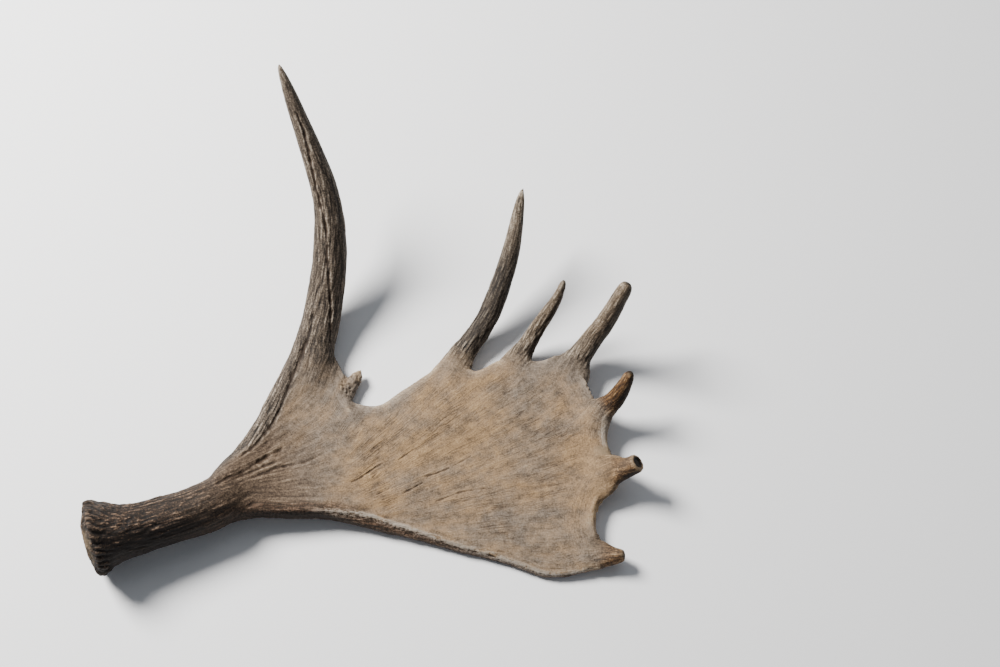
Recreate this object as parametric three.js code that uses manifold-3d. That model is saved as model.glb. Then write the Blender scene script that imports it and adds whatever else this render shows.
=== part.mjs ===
// A shed moose antler, lying on its convex back with the hollow side up.
// Millimetres, +Z up. The beam and burr point towards -X, the brow tine grows towards +Y, and the
// palm with its other tines fills +X. One grown piece, parted only at its main forks.

import * as THREE from "three";
import { mergeVertices } from "three/addons/utils/BufferGeometryUtils.js";
import Module from "manifold-3d";

const wasm = await Module();
wasm.setup();

// ---- driving dimensions -------------------------------------------------------------------------

const forkGap = 0.3;          // clear gap left where the antler is parted at a fork
const floorWear = 0.5;        // depth worn flat at the spots that its back rests on
const floor = { side: 900, depth: 100 };
const middle = [2.7, -10.5];  // middle of the whole outline in plan, which becomes the origin

// Stations along each limb: [x, y, z, half width in plan, half thickness]. Both ends close to a point.
const beamStations = [
  [-288.5, -236.5, 41.5, 0, 0], [-287.5, -236, 41.5, 20, 21], [-285.5, -235.5, 41.5, 30, 31],
  [-282, -234.5, 41, 39, 39.5], [-275.5, -232.5, 41, 39, 40], [-268, -230.5, 41, 35, 36],
  [-257, -228.5, 41, 31, 32], [-243, -225, 40, 28, 29], [-223, -218.5, 38, 26.5, 27],
  [-203, -211.5, 36, 26, 26.5], [-183, -204, 34, 26, 26.5], [-162, -194.5, 32, 27, 26],
  [-141, -181, 28, 25, 21], [-117, -167, 22, 18, 13], [-92, -155, 17.5, 12, 9], [-62, -140, 13.5, 0, 0],
];
const browStations = [
  [-92, -100, 16, 0, 0], [-77, -60, 16.5, 19, 9], [-65, -22, 17, 23, 14], [-60.5, 5, 18.4, 22.5, 18.8],
  [-55, 27, 25, 21.5, 18.5], [-51, 48, 34, 21, 18], [-47, 68, 46, 20.3, 18], [-44, 96, 64, 19, 17],
  [-44, 123, 84, 17, 15.5], [-46.5, 141, 98, 15.5, 14.5], [-51.5, 158, 113, 14.5, 13.5],
  [-58.5, 175, 128, 13, 12.5], [-66, 192, 143, 11.5, 11], [-73.5, 208, 158, 9.8, 9.5],
  [-81, 224, 174, 8, 8], [-88, 239, 190, 5.4, 5.4], [-93, 249, 201, 2.8, 2.8], [-94.8, 252.5, 205, 0, 0],
];
const rootRidgeStations = [
  [-168, -180, 37, 0, 0], [-157, -170, 34, 10, 10], [-147, -153, 30, 10, 9], [-134, -136, 27, 10, 8.2],
  [-114.5, -102, 23.5, 10, 8.2], [-98.5, -62, 21.5, 10, 8.6], [-84, -28, 21, 9.5, 9.8],
  [-75.5, -3, 23, 9, 11], [-67, 19, 28, 9.5, 12], [-60, 40, 36, 10.5, 12], [-53.5, 62, 46, 0, 0],
];
const tineStations = {
  tine_2: [
    [72, -72, 9, 0, 0], [84, -46, 9, 20, 6], [96.5, -23, 10, 18.5, 8], [104.5, -9, 12, 15.5, 9],
    [113, 3, 15, 13, 10], [124.5, 18, 20.5, 12.4, 10.5], [136, 36, 29, 12.2, 10.5],
    [147, 62, 42, 11.6, 10.5], [156, 86, 54, 10.8, 10], [162, 108, 66, 9.4, 9], [167, 133, 79, 7, 7],
    [170.5, 151, 88, 4.4, 4.6], [173, 162.5, 93.5, 0, 0],
  ],
  tine_3: [
    [140, -62, 9, 0, 0], [152, -40, 9.5, 20, 5.8], [162, -24, 11, 18, 7.2], [171, -10, 15.5, 13.5, 8],
    [178.5, 0, 23, 10.3, 8.5], [189, 13, 36, 9.2, 8], [198.5, 22, 51, 8.1, 7.5], [207.5, 30, 66, 6.6, 6.5],
    [213, 37.5, 77, 5, 5], [216.4, 44.5, 84.5, 3.7, 3.7], [218, 48, 88, 0, 0],
  ],
  tine_4: [
    [202, -78, 11, 0, 0], [213, -54, 13.5, 22, 6], [226, -32, 18, 23.5, 7.8], [235.5, -17.5, 25, 15, 9],
    [242, -10.5, 32, 12.6, 10], [251.5, -2, 45, 11.6, 10.5], [261, 5, 61, 10.9, 10.5],
    [270.5, 14, 80, 10, 9.8], [276, 20.5, 92, 9.2, 9], [281, 26, 101, 8.6, 8.4],
    [284.6, 31, 107.5, 6.4, 6.2], [286, 33, 110, 0, 0],
  ],
  tine_5: [
    [230, -122, 12, 0, 0], [245, -102, 18.5, 18, 5.5], [257.5, -86, 27, 15.5, 7],
    [268, -79, 36.5, 11.7, 8.5], [274, -75, 44, 10.5, 9], [279, -70, 52.5, 9.1, 8.6],
    [284, -63.5, 61.5, 7.4, 7], [287.6, -57.4, 67.6, 5.4, 5.2], [289.5, -53.8, 70.8, 0, 0],
  ],
  tine_6: [
    [218, -163, 9, 0, 0], [240, -159, 12, 30, 5.5], [256, -156.5, 17.5, 26, 7],
    [270.5, -153.5, 26, 19, 8.5], [280.5, -154, 34.5, 12.6, 9.5], [289.5, -153.5, 43.5, 10.6, 9.5],
    [294.5, -152, 48.5, 9.6, 9], [296, -151.5, 50, 0, 0],
  ],
  tine_7: [
    [210, -242, 8, 0, 0], [232, -244, 9, 17, 6.5], [243, -244.5, 10, 15.5, 7.5],
    [254, -243.5, 11.5, 16, 8], [264.5, -245.2, 14.5, 11.4, 8], [272, -246, 17, 8.6, 7.5],
    [278, -245.6, 19.2, 6.2, 5.8], [280.3, -245.5, 20, 0, 0],
  ],
};
const snagStations = [
  [-52, -92, 9, 0, 0], [-34, -66, 9.2, 13, 6.2], [-24.5, -52, 9.4, 11, 6.8], [-17.5, -42, 9.8, 8.2, 6.6],
  [-12.5, -34.5, 10.2, 6.2, 5.6], [-7.5, -26, 10.5, 0, 0],
];

// The palm is a fan of sections, each running from its lower edge to its upper edge, in plan.
const palmLowerEdge = [
  [-175, -222], [-146, -213], [-115, -205], [-83, -204], [-55, -203], [-35, -204], [-15, -208], [3, -212],
  [20, -216], [45, -222], [75, -230], [103, -238], [128, -244], [150, -250], [172, -258], [192, -265],
  [212, -266], [232, -262], [251, -256],
];
const palmUpperEdge = [
  [-170, -170], [-147, -143], [-126, -117], [-112, -83], [-98, -45], [-82, -8], [-48, -4], [-28, -34],
  [-19, -65], [12, -70], [40, -52], [66, -32], [92, -14], [119, -30], [150, -17], [188, -20],
  [218, -15], [240.5, -43.5], [252.5, -69],
];
// Each pair is [place along the palm from the beam (0) to the tined edge (1), size].
const palmHalfThickness = {
  lower: [[0, 26], [0.06, 23], [0.11, 18], [0.22, 15], [0.4, 11], [0.59, 8.5], [0.8, 7.2], [1, 6.5]],
  middle: [[0, 26], [0.06, 22], [0.11, 15.5], [0.17, 11.5], [0.28, 8.3], [0.5, 6.2], [0.7, 5.3], [1, 4.8]],
  upper: [[0, 26], [0.06, 22], [0.11, 17], [0.17, 14], [0.28, 11], [0.34, 8.5], [0.4, 6.5], [0.5, 5.8],
    [0.65, 6.5], [0.8, 6], [1, 5.5]],
};
const palmHeight = {
  lower: [[0, 33], [0.06, 28], [0.17, 20], [0.35, 13.5], [0.53, 8.8], [0.65, 6.6], [0.72, 5.8], [0.88, 6.2],
    [1, 8.5]],
  middle: [[0, 33], [0.06, 28], [0.11, 23], [0.17, 18], [0.28, 13], [0.5, 8.8], [0.65, 7.2], [0.8, 7.8],
    [0.9, 10], [1, 16]],
  upper: [[0, 33], [0.06, 28], [0.11, 23], [0.17, 18.5], [0.28, 15], [0.34, 13], [0.4, 11], [0.5, 9.5],
    [0.65, 11], [0.8, 15.5], [0.9, 21], [1, 27]],
};
const palmSquareness = [[0, 2], [0.06, 2.2], [0.15, 3.5], [0.25, 5], [1, 6]];
// The tined edge reaches out at the tines and in at the bays, by these steps from lower to upper edge.
const tinedEdge = {
  sway: [2, -2, -7.5, -2.5, 10, 14, 7.5, 9, -1], swayFrom: 0.82, round: 5, roundFrom: 0.94,
};
const rimWidth = 1.8;                          // thick rims reach this many half thicknesses in
const palmRoot = 0.03;                         // share of its length in which the palm closes in the beam
const fanRibs = { count: 3, depth: 0.8, from: 0.3, to: 0.9, fade: 0.2 };   // on the hollow side only

// Relief. Each wave is [ridges round the limb, depth as a share of its radius, drift along it in
// radians], and the ridges fade out between fadeFrom and the limb's outer end.
const beamRidges = { fadeFrom: 0.8, waves: [[7, 0.045, 9.6], [12, 0.028, -16]] };
const browRidges = { fadeFrom: 0.45, waves: [[6, 0.045, 7], [9, 0.03, -12.5]] };
const rootRidges = { fadeFrom: 0.8, waves: [[3, 0.06, 20]] };
const tineRidges = { fadeFrom: 0.3, waves: [[5, 0.035, 6.6]] };
const snagRidges = { fadeFrom: 0.9, waves: [[3, 0.12, 5.4], [4, 0.1, -14]] };
const burrKnobs = { count: 13, depth: 0.09, drift: 9, from: 0.17, to: 0.42, fade: 0.1 };
const browGroove = { depth: 0.2, from: 0.16, to: 0.5, fade: 0.1, width: 0.42, angle: 1.35 };

// Fineness of each loft: [sides, rings]. A tine has its rings for each of its stations.
const fineness = { palm: [30, 34], beam: [30, 38], brow: [20, 34], rootRidge: [10, 18], snag: [9, 8] };
const tineFineness = { sides: 12, ringsEach: 1.6 };
const weldedWithin = 0.001;

// Forks: the station each limb is parted at, its outer end, and half the width the cutter clears.
const forks = {
  beam: { station: 11, end: 0, width: 75 },
  brow_tine: { station: 4, end: 17, width: 70 },
  tine_2: { station: 4, end: 12, width: 26 },
  tine_3: { station: 4, end: 10, width: 16 },
  tine_4: { station: 3, end: 11, width: 22 },
  tine_5: { station: 3, end: 8, width: 18 },
  tine_6: { station: 3, end: 7, width: 26 },
  tine_7: { station: 3, end: 7, width: 18 },
};
const pastEnd = 30;                            // how far a cutter runs on past the end of its limb

const finishes = {
  beam: { color: 0x5a4a3d, roughness: 0.7 },
  palm: { color: 0x9f8b79, roughness: 0.62 },
  brow_tine: { color: 0x6b635b, roughness: 0.62 },
  tine_2: { color: 0x6a655d, roughness: 0.6 },
  tine_3: { color: 0x8e7d69, roughness: 0.6 },
  tine_4: { color: 0x847564, roughness: 0.6 },
  tine_5: { color: 0x6d5139, roughness: 0.6 },
  tine_6: { color: 0x7a6149, roughness: 0.62 },
  tine_7: { color: 0x7e6b5b, roughness: 0.62 },
};

// ---- curves and lofts ---------------------------------------------------------------------------

const up = new THREE.Vector3(0, 0, 1);
const smoothCurve = (points) => new THREE.CatmullRomCurve3(points, false, "catmullrom", 0.5);
const smoothStep = THREE.MathUtils.smoothstep;

/** Value at a place along a list of [place, value] pairs, joined by straight stretches. */
function sizeAt(pairs, place) {
  const next = pairs.findIndex(([at]) => at >= place);
  if (next <= 0) return pairs[next === 0 ? 0 : pairs.length - 1][1];
  const [from, low] = pairs[next - 1];
  const [to, high] = pairs[next];
  return THREE.MathUtils.lerp(low, high, (place - from) / (to - from));
}

/** The mesh without its seams, and without the triangles that its closed ends pinch to nothing. */
function sealed(geometry) {
  geometry.deleteAttribute("normal");
  geometry.deleteAttribute("uv");
  const merged = mergeVertices(geometry, weldedWithin);
  const corners = merged.index.array;
  const kept = [];
  for (let i = 0; i < corners.length; i += 3) {
    const [a, b, c] = corners.slice(i, i + 3);
    if (a !== b && b !== c && c !== a) kept.push(a, b, c);
  }
  merged.setIndex(kept);
  return merged;
}

/** A tube that closes at both ends. place(along, angle) gives its points, along running from 0 to 1. */
function loft(sides, rings, place) {
  const geometry = new THREE.CylinderGeometry(1, 1, 1, sides, rings, true);
  const spots = geometry.attributes.position;
  for (let i = 0; i < spots.count; i += 1) {
    const spot = place(0.5 - spots.getY(i), Math.atan2(spots.getX(i), spots.getZ(i)));
    spots.setXYZ(i, spot.x, spot.y, spot.z);
  }
  return sealed(geometry);
}

/** A limb of elliptical rings along its stations. relief(along, angle) swells or sinks its surface. */
function limb(stations, [sides, rings], relief) {
  const axis = smoothCurve(stations.map(([x, y, z]) => new THREE.Vector3(x, y, z)));
  const sizes = smoothCurve(stations.map(([, , , width, thick]) => new THREE.Vector3(width, thick, 0)));
  return loft(sides, rings, (along, angle) => {
    const forward = axis.getTangent(along);
    const side = new THREE.Vector3().crossVectors(forward, up).normalize();
    const over = new THREE.Vector3().crossVectors(side, forward);
    const size = sizes.getPoint(along).multiplyScalar(1 + relief(along, angle));
    return axis.getPoint(along)
      .addScaledVector(side, size.x * Math.cos(angle))
      .addScaledVector(over, size.y * Math.sin(angle));
  });
}

/** Full between two places along a limb, fading to nothing outside them. */
function between(along, { from, to, fade }) {
  return smoothStep(along, from - fade, from) * (1 - smoothStep(along, to - fade, to));
}

/** Lengthwise ridges that drift round the limb and fade out towards its tip. */
function ridged({ fadeFrom, waves }) {
  return (along, angle) => {
    const height = ([count, depth, drift]) => depth * Math.cos(count * angle + drift * along);
    return (1 - smoothStep(along, fadeFrom, 1)) * waves.reduce((sum, wave) => sum + height(wave), 0);
  };
}

function beamRelief(along, angle) {
  const onBurr = between(along, burrKnobs);
  const knob = Math.abs(Math.sin(0.5 * burrKnobs.count * angle + burrKnobs.drift * along)) - 0.5;
  return onBurr * burrKnobs.depth * knob + (1 - onBurr) * ridged(beamRidges)(along, angle);
}

function browRelief(along, angle) {
  const sunk = Math.exp(-(((angle - browGroove.angle) / browGroove.width) ** 2));
  return ridged(browRidges)(along, angle) - between(along, browGroove) * browGroove.depth * sunk;
}

/** The palm: a wide, flat loft with thick rims and a hollow middle that curls up at its tined edge. */
function palm([sides, rings]) {
  const lowerEdge = smoothCurve(palmLowerEdge.map(([x, y]) => new THREE.Vector3(x, y, 0)));
  const upperEdge = smoothCurve(palmUpperEdge.map(([x, y]) => new THREE.Vector3(x, y, 0)));
  const swayCurve = smoothCurve(tinedEdge.sway.map((reach) => new THREE.Vector3(reach, 0, 0)));
  return loft(sides, rings, (along, angle) => {
    const place = Math.min(along / tinedEdge.roundFrom, 1);
    const across = 0.5 - 0.5 * Math.cos(angle);           // 0 on the lower edge, 1 on the upper one
    const offMiddle = 2 * across - 1;
    const edge = across < 0.5 ? "lower" : "upper";
    const spot = lowerEdge.getPoint(place);
    const upper = upperEdge.getPoint(place);
    const width = spot.distanceTo(upper);
    spot.lerp(upper, across);

    // Half thickness: the web's own, swelling into a rounded rim near either edge.
    const web = sizeAt(palmHalfThickness.middle, place);
    const rim = sizeAt(palmHalfThickness[edge], place);
    const fromEdge = (0.5 - 0.5 * Math.abs(offMiddle)) * width;
    const swollen = web + (rim - web) / (1 + (fromEdge / (rimWidth * rim)) ** 3);
    const power = sizeAt(palmSquareness, place);
    const rounding = (1 - Math.abs(offMiddle) ** power) ** (1 / power);

    // The tined edge sways in and out in plan, and turns over in a half round.
    const turn = 0.5 * Math.PI * Math.max(along - tinedEdge.roundFrom, 0) / (1 - tinedEdge.roundFrom);
    const sway = swayCurve.getPoint(across).x * smoothStep(place, tinedEdge.swayFrom, 1);
    spot.x += sway + tinedEdge.round * Math.sin(turn);

    const onTop = Math.sin(angle) > 0;
    const fanned = fanRibs.depth * between(place, fanRibs);
    const rib = onTop ? fanned * Math.sin(2 * Math.PI * fanRibs.count * across) : 0;
    const closing = along < 1 ? smoothStep(along, 0, palmRoot) * Math.cos(turn) : 0;
    const heights = [palmHeight.middle, palmHeight[edge]].map((pairs) => sizeAt(pairs, place));
    spot.z = THREE.MathUtils.lerp(...heights, offMiddle ** 2)
      + (onTop ? 1 : -1) * closing * rounding * (swollen + rib);
    return spot;
  });
}

// ---- solids -------------------------------------------------------------------------------------

function solidOf(geometry) {
  const vertProperties = new Float32Array(geometry.attributes.position.array);
  const triVerts = new Uint32Array(geometry.index.array);
  return new wasm.Manifold(new wasm.Mesh({ numProp: 3, vertProperties, triVerts }));
}

function geometryOf(solid) {
  const mesh = solid.getMesh();
  const geometry = new THREE.BufferGeometry();
  geometry.setAttribute("position", new THREE.BufferAttribute(mesh.vertProperties, 3));
  geometry.setIndex(new THREE.BufferAttribute(mesh.triVerts, 1));
  return geometry;
}

/** A square bar that starts a little before or after a fork and runs out over the limb beyond it. */
function cutter(stations, { station, end, width }, start) {
  const fork = new THREE.Vector3(...stations[station]);
  const growth = new THREE.Vector3(...stations[end]).sub(fork);
  const reach = growth.length() + pastEnd;
  const bar = new THREE.BoxGeometry(2 * width, 2 * width, reach);
  bar.translate(0, 0, reach / 2 + start);
  bar.applyQuaternion(new THREE.Quaternion().setFromUnitVectors(up, growth.normalize()));
  bar.translate(fork.x, fork.y, fork.z);
  return solidOf(sealed(bar));
}

function floorBlock() {
  const block = new THREE.BoxGeometry(floor.side, floor.side, floor.depth);
  block.translate(0, 0, -0.5 * floor.depth);
  return solidOf(sealed(block));
}

const limbs = [
  limb(beamStations, fineness.beam, beamRelief),
  limb(browStations, fineness.brow, browRelief),
  limb(rootRidgeStations, fineness.rootRidge, ridged(rootRidges)),
  limb(snagStations, fineness.snag, ridged(snagRidges)),
];
for (const stations of Object.values(tineStations)) {
  const rings = Math.round(tineFineness.ringsEach * stations.length);
  limbs.push(limb(stations, [tineFineness.sides, rings], ridged(tineRidges)));
}

let whole = solidOf(palm(fineness.palm));
for (const geometry of limbs) whole = whole.add(solidOf(geometry));
whole = whole.translate([0, 0, -floorWear]).subtract(floorBlock());

// ---- the antler, parted at its forks ------------------------------------------------------------

const antler = new THREE.Group();
antler.name = "moose_antler";
antler.position.set(-middle[0], -middle[1], 0);

function addPiece(name, solid) {
  const material = new THREE.MeshStandardMaterial({ ...finishes[name], metalness: 0 });
  const mesh = new THREE.Mesh(geometryOf(solid), material);
  mesh.name = name;
  antler.add(mesh);
}

let palmSolid = whole;
const stationsOf = { beam: beamStations, brow_tine: browStations, ...tineStations };
for (const [name, fork] of Object.entries(forks)) {
  addPiece(name, whole.intersect(cutter(stationsOf[name], fork, forkGap / 2)));
  palmSolid = palmSolid.subtract(cutter(stationsOf[name], fork, -forkGap / 2));
}
addPiece("palm", palmSolid);

export default antler;
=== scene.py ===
import math
import time
import bmesh
import bpy
import numpy as np
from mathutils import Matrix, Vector


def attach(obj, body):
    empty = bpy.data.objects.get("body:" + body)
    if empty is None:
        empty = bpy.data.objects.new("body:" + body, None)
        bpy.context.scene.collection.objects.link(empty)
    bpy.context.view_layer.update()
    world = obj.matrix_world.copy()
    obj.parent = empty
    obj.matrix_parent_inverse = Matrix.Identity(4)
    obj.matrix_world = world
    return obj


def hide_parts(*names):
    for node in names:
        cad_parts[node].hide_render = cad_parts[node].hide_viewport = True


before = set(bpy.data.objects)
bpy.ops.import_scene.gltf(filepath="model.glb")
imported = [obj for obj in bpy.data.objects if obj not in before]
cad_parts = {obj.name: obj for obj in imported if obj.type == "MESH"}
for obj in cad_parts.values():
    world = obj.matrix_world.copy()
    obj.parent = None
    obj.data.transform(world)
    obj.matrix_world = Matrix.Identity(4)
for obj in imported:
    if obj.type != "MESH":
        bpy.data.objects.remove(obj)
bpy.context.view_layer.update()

# A shed moose antler lying on its convex back, one grown piece over all the CAD nodes.
# Shapes are worked out in millimetres, in the frame's own axes, and turned into metres at the end.

started = time.time()


def report(stage):
    print(f"{stage}: {time.time() - started:.1f} s")


# camera first, looking down over the hollow side

view = {"aim": (0.1443, 0.033, 0.0), "distance": 1.9, "elevation": 65.0, "lens": 60.0}


def addCamera(settings):
    tilt = math.radians(settings["elevation"])
    data = bpy.data.cameras.new("overheadCamera")
    data.lens = settings["lens"]
    camera = bpy.data.objects.new("overheadCamera", data)
    aim, away = settings["aim"], settings["distance"]
    camera.location = (aim[0], aim[1] - away * math.cos(tilt), aim[2] + away * math.sin(tilt))
    camera.rotation_euler = (math.pi / 2 - tilt, 0, 0)
    bpy.context.scene.collection.objects.link(camera)
    bpy.context.scene.camera = camera


addCamera(view)

# smooth noise and curves, all on whole arrays

picker = np.random.default_rng(11)
shuffled = picker.permutation(512)
slopes = picker.normal(size=(512, 3))
slopes /= np.linalg.norm(slopes, axis=1)[:, None]


def smooth(values, low, high):
    # 0 below low, 1 above high, eased between them: 3t^2 - 2t^3
    t = np.clip((values - low) / (high - low), 0, 1)
    return t * t * (3 - 2 * t)


def cornersOf(cell, step):
    # a fixed random number from 0 to 511 for each whole-number corner
    key = shuffled[(cell[:, 0] + step[0]) & 511]
    key = shuffled[(key + cell[:, 1] + step[1]) & 511]
    return shuffled[(key + cell[:, 2] + step[2]) & 511]


def softNoise(points, octaves=1):
    # each corner of a unit lattice has a slope, and the slopes' planes are blended by 6t^5 - 15t^4 + 10t^3
    # every octave is twice as fine and half as strong, about -1 to 1 in all
    total = np.zeros(len(points))
    for octave in range(octaves):
        spots = points * 2.0 ** octave + 17.3 * octave
        cell = np.floor(spots).astype(np.int64)
        part = spots - cell
        ease = part ** 3 * (10 - 15 * part + 6 * part ** 2)
        for step in np.ndindex(2, 2, 2):
            pull = np.einsum("ij,ij->i", slopes[cornersOf(cell, step)], part - np.array(step))
            share = np.prod(np.where(np.array(step) == 1, ease, 1 - ease), axis=1)
            total += 1.6 * 0.5 ** octave * share * pull
    return total


def pearls(points):
    # round bumps, one in each cell of a jittered unit lattice: the highest 1 - (distance / 0.62)^2 near by
    cell = np.floor(points).astype(np.int64)
    part = points - cell
    height = np.zeros(len(points))
    for step in np.ndindex(3, 3, 3):
        near = np.array(step) - 1
        middle = near + 0.5 + 0.3 * slopes[cornersOf(cell, near)]
        height = np.maximum(height, 1 - np.sum((part - middle) ** 2, axis=1) / 0.62 ** 2)
    return height


def curveThrough(points, place):
    # smooth curve through evenly spaced points: on each stretch a cubic whose end slopes are half
    # the step between the points on either side
    points = np.asarray(points, float)
    count = len(points) - 1
    place = np.clip(place, 0, 1) * count
    first = np.minimum(place.astype(int), count - 1)
    t = (place - first)[..., None]
    padded = np.vstack([2 * points[0] - points[1], points, 2 * points[-1] - points[-2]])
    before, start, end, after = (padded[first + k] for k in range(4))
    leave, arrive = (end - before) / 2, (after - start) / 2
    bend = -3 * start + 3 * end - 2 * leave - arrive
    return start + t * leave + t ** 2 * bend + t ** 3 * (2 * start - 2 * end + leave + arrive)


def unit(vectors):
    return vectors / np.maximum(np.linalg.norm(vectors, axis=-1, keepdims=True), 1e-9)


# the antler's limbs, in millimetres: [x, y, z, half width in plan, half thickness] from root to tip

offset = {"x": -2.7, "y": 10.5, "z": -0.5}

limbs = {
    "beam": {
        "stations": [
            [-288.5, -236.5, 41.5, 0, 0], [-287.5, -236, 41.5, 20, 21], [-285.5, -235.5, 41.5, 30, 31],
            [-282, -234.5, 41, 39, 39.5], [-275.5, -232.5, 41, 39, 40], [-268, -230.5, 41, 35, 36],
            [-257, -228.5, 41, 31, 32], [-243, -225, 40, 28, 29], [-223, -218.5, 38, 26.5, 27],
            [-203, -211.5, 36, 26, 26.5], [-183, -204, 34, 26, 26.5], [-162, -194.5, 32, 27, 26],
            [-141, -181, 28, 25, 21], [-117, -167, 22, 18, 13], [-92, -155, 17.5, 12, 9],
            [-62, -140, 13.5, 0, 0]],
        "grid": (180, 160), "rootFade": (-1, 0), "tipFade": (0.96, 0.55)},
    "brow": {
        "stations": [
            [-92, -100, 16, 0, 0], [-77, -60, 16.5, 19, 9], [-65, -22, 17, 23, 14],
            [-60.5, 5, 18.4, 22.5, 18.8], [-55, 27, 25, 21.5, 18.5], [-51, 48, 34, 21, 18],
            [-47, 68, 46, 20.3, 18], [-44, 96, 64, 19, 17], [-44, 123, 84, 17, 15.5],
            [-46.5, 141, 98, 15.5, 14.5], [-51.5, 158, 113, 14.5, 13.5], [-58.5, 175, 128, 13, 12.5],
            [-66, 192, 143, 11.5, 11], [-73.5, 208, 158, 9.8, 9.5], [-81, 224, 174, 8, 8],
            [-88, 239, 190, 5.4, 5.4], [-93, 249, 201, 2.8, 2.8], [-94.8, 252.5, 205, 0, 0]],
        "grid": (260, 96), "rootFade": (0.02, 0.16), "tipFade": (2, 1)},
    "rootRidge": {
        "stations": [
            [-168, -180, 37, 0, 0], [-157, -170, 34, 10, 10], [-147, -153, 30, 10, 9],
            [-134, -136, 27, 10, 8.2], [-114.5, -102, 23.5, 10, 8.2], [-98.5, -62, 21.5, 10, 8.6],
            [-84, -28, 21, 9.5, 9.8], [-75.5, -3, 23, 9, 11], [-67, 19, 28, 9.5, 12],
            [-60, 40, 36, 10.5, 12], [-53.5, 62, 46, 0, 0]],
        "grid": (160, 48), "rootFade": (0.0, 0.28), "tipFade": (1, 0.85), "reach": 1.05},
    "snag": {
        "stations": [
            [-52, -92, 9, 0, 0], [-34, -66, 9.2, 13, 6.2], [-24.5, -52, 9.4, 11, 6.8],
            [-17.5, -42, 9.8, 8.2, 6.6], [-12.5, -34.5, 10.2, 6.2, 5.6], [-7.5, -26, 10.5, 0, 0]],
        "grid": (60, 40), "rootFade": (0.1, 0.4), "tipFade": (2, 1)},
    "tine2": {
        "stations": [
            [72, -72, 9, 0, 0], [84, -46, 9, 20, 6], [96.5, -23, 10, 18.5, 8], [104.5, -9, 12, 15.5, 9],
            [113, 3, 15, 13, 10], [124.5, 18, 20.5, 12.4, 10.5], [136, 36, 29, 12.2, 10.5],
            [147, 62, 42, 11.6, 10.5], [156, 86, 54, 10.8, 10], [162, 108, 66, 9.4, 9],
            [167, 133, 79, 7, 7], [170.5, 151, 88, 4.4, 4.6], [173, 162.5, 93.5, 0, 0]],
        "grid": (180, 64), "rootFade": (0.1, 0.3), "tipFade": (2, 1)},
    "tine3": {
        "stations": [
            [140, -62, 9, 0, 0], [152, -40, 9.5, 20, 5.8], [162, -24, 11, 18, 7.2],
            [171, -10, 15.5, 13.5, 8], [178.5, 0, 23, 10.3, 8.5], [189, 13, 36, 9.2, 8],
            [198.5, 22, 51, 8.1, 7.5], [207.5, 30, 66, 6.6, 6.5], [213, 37.5, 77, 5.0, 5.0],
            [216.4, 44.5, 84.5, 3.7, 3.7], [218, 48, 88, 0, 0]],
        "grid": (120, 56), "rootFade": (0.12, 0.36), "tipFade": (2, 1)},
    "tine4": {
        "stations": [
            [202, -78, 11, 0, 0], [213, -54, 13.5, 22, 6], [226, -32, 18, 23.5, 7.8],
            [235.5, -17.5, 25, 15, 9], [242, -10.5, 32, 12.6, 10], [251.5, -2, 45, 11.6, 10.5],
            [261, 5, 61, 10.9, 10.5], [270.5, 14, 80, 10, 9.8], [276, 20.5, 92, 9.2, 9],
            [281, 26, 101, 8.6, 8.4], [284.6, 31, 107.5, 6.4, 6.2], [286, 33, 110, 0, 0]],
        "grid": (130, 56), "rootFade": (0.1, 0.3), "tipFade": (2, 1)},
    "tine5": {
        "stations": [
            [230, -122, 12, 0, 0], [245, -102, 18.5, 18, 5.5], [257.5, -86, 27, 15.5, 7],
            [268, -79, 36.5, 11.7, 8.5], [274, -75, 44, 10.5, 9], [279, -70, 52.5, 9.1, 8.6],
            [284, -63.5, 61.5, 7.4, 7], [287.6, -57.4, 67.6, 5.4, 5.2], [289.5, -53.8, 70.8, 0, 0]],
        "grid": (100, 48), "rootFade": (0.12, 0.36), "tipFade": (2, 1)},
    "tine6": {
        "stations": [
            [218, -163, 9, 0, 0], [240, -159, 12, 30, 5.5], [256, -156.5, 17.5, 26, 7],
            [270.5, -153.5, 26, 19, 8.5], [280.5, -154, 34.5, 12.6, 9.5], [289.5, -153.5, 43.5, 10.6, 9.5],
            [294.5, -152, 48.5, 9.6, 9], [296, -151.5, 50, 0, 0]],
        "grid": (100, 56), "rootFade": (0.14, 0.4), "tipFade": (2, 1)},
    "tine7": {
        "stations": [
            [210, -242, 8, 0, 0], [232, -244, 9, 17, 6.5], [243, -244.5, 10, 15.5, 7.5],
            [254, -243.5, 11.5, 16, 8], [264.5, -245.2, 14.5, 11.4, 8], [272, -246, 17, 8.6, 7.5],
            [278, -245.6, 19.2, 6.2, 5.8], [280.3, -245.5, 20, 0, 0]],
        "grid": (80, 48), "rootFade": (0.14, 0.4), "tipFade": (2, 1)},
}


def shifted(stations):
    return np.asarray(stations, float) + np.array([offset["x"], offset["y"], offset["z"], 0, 0])


def limbLine(stations, place):
    # points along a limb's axis, with the axis's own directions: onward, level to its right, and over
    at = curveThrough(stations[:, :3], place)
    step = 1e-4
    onward = unit(curveThrough(stations[:, :3], np.minimum(place + step, 1))
                  - curveThrough(stations[:, :3], np.maximum(place - step, 0)))
    side = unit(np.cross(onward, [0.0, 0.0, 1.0]))
    return at, onward, side, np.cross(side, onward)


def limbGrid(settings):
    # ellipse carried along the axis: axis + side * width * cos(angle) + over * thickness * sin(angle)
    stations = shifted(settings["stations"])
    rings, sides = settings["grid"]
    place = np.linspace(0, 1, rings + 1)
    at, onward, side, over = limbLine(stations, place)
    size = np.maximum(curveThrough(stations[:, 3:], place), 0.01)
    angle = np.linspace(0, 2 * np.pi, sides, endpoint=False)
    spots = (at[:, None] + side[:, None] * (size[:, :1] * np.cos(angle))[..., None]
             + over[:, None] * (size[:, 1:] * np.sin(angle))[..., None])
    return closedGrid(spots)


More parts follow.
